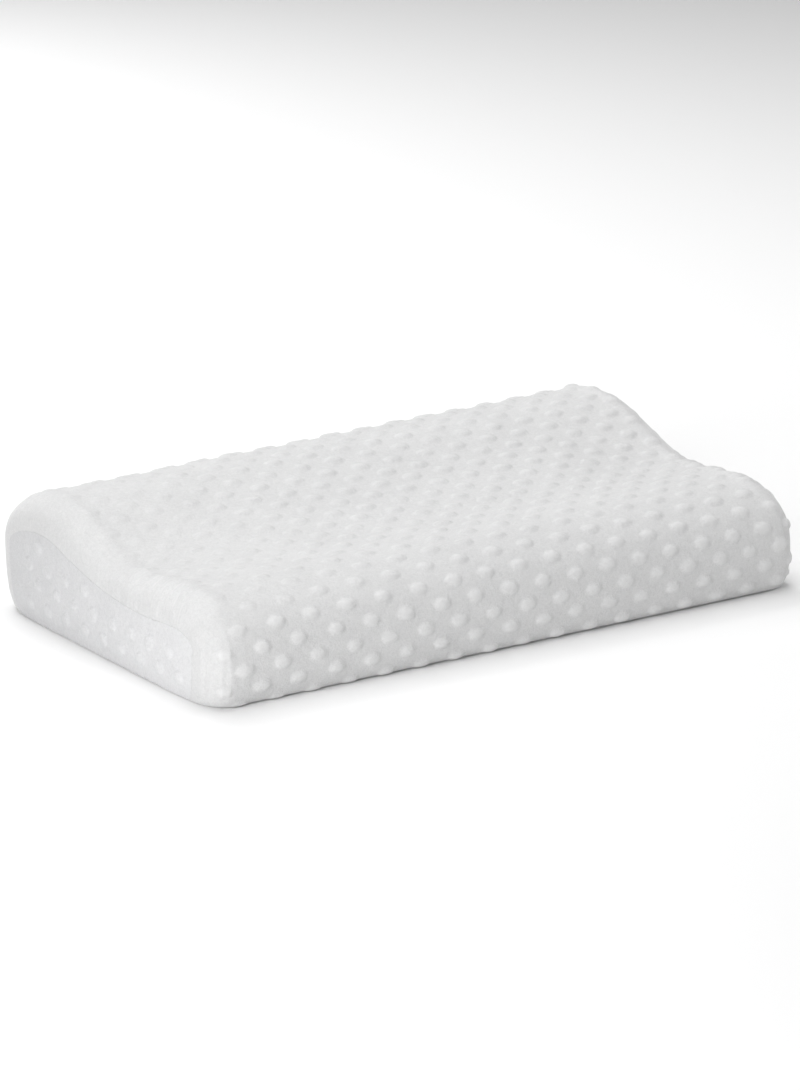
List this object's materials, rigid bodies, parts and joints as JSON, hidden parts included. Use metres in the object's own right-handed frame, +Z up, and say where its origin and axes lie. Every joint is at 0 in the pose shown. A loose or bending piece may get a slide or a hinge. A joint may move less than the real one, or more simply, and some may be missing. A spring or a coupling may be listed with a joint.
{
  "type": "memory foam contour pillow",
  "caption": "Contour sleeping pillow with a low front lobe, a valley and a high back lobe, in a white raised-dot velour cover.",
  "frame": {"origin": "under the middle of the pillow, on the surface that it lies on", "axes": "+X along the pillow's length, +Y from the low front lobe to the high back lobe, +Z up"},
  "size_m": [0.4996, 0.3048, 0.0943],
  "materials": {
    "wrap_velour": "white plush velour with raised dots",
    "end_velour": "white plush velour with raised dots, a little cooler"
  },
  "bodies": {
    "root": {"pillow_body": "wrap_velour", "end_panel_left": "end_velour", "end_panel_right": "end_velour"}
  },
  "joints": []
}
